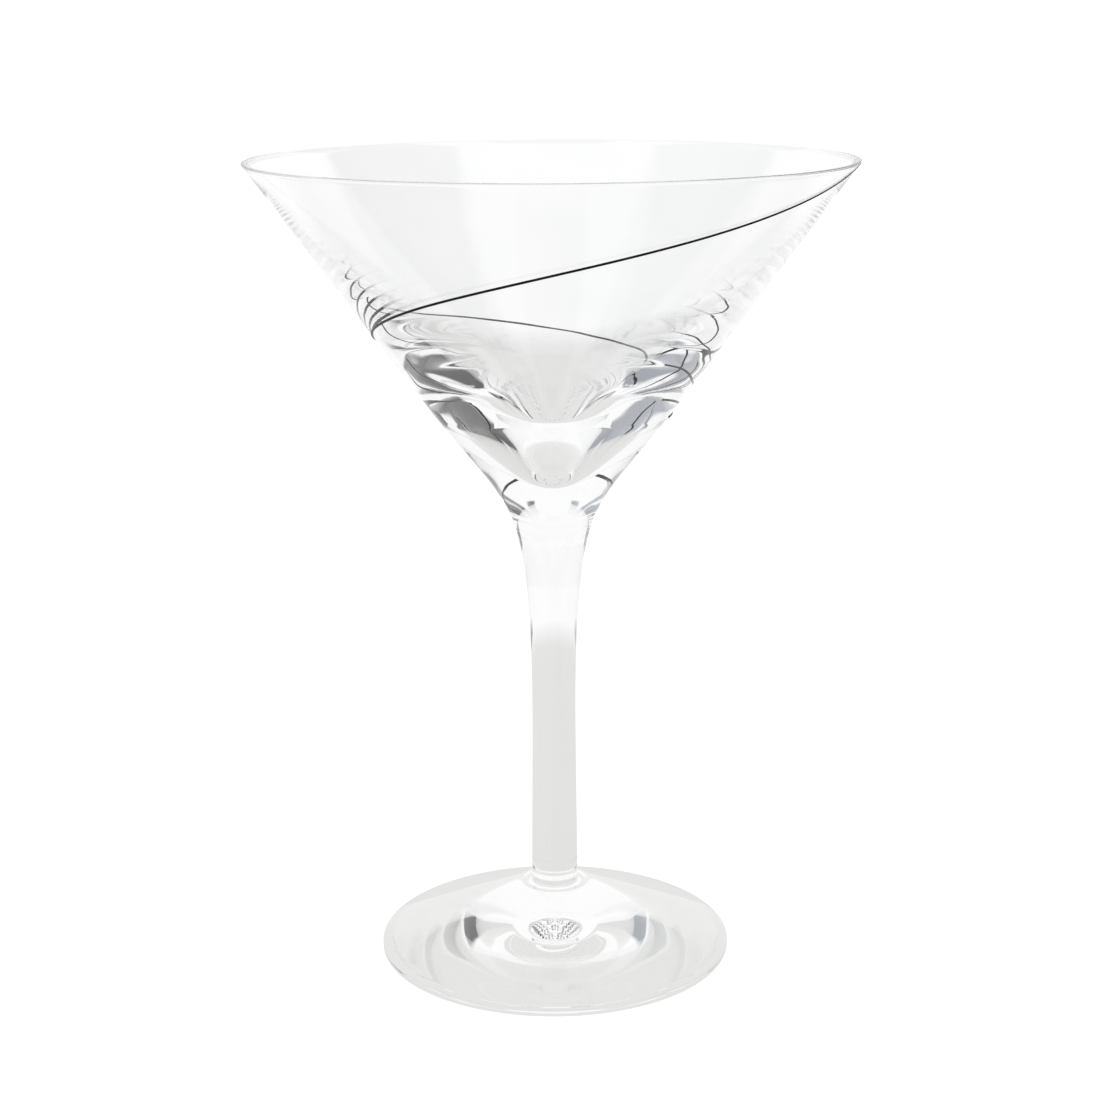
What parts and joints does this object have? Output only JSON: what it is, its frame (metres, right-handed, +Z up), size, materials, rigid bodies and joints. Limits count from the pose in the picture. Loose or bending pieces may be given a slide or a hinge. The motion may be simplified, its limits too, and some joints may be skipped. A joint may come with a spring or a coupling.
{
  "type": "martini glass",
  "caption": "Stemmed cocktail glass with a wide conical bowl, solid flared base, slim stem, low conical foot and a dark thread spiralling down the bowl.",
  "frame": {"origin": "centre of the foot's underside, on the surface that the glass stands on", "axes": "+Z up along the glass's turning axis; the thread leaves the rim at the +X side and first passes the -Y side"},
  "size_m": [0.1312, 0.1312, 0.18],
  "materials": {
    "bowl_glass": "clear, fire polished",
    "stem_glass": "clear, fire polished",
    "foot_glass": "clear, fire polished",
    "thread_glass": "near-black, fire polished"
  },
  "bodies": {
    "root": {"bowl": "bowl_glass", "stem": "stem_glass", "foot": "foot_glass", "thread": "thread_glass"}
  },
  "joints": []
}
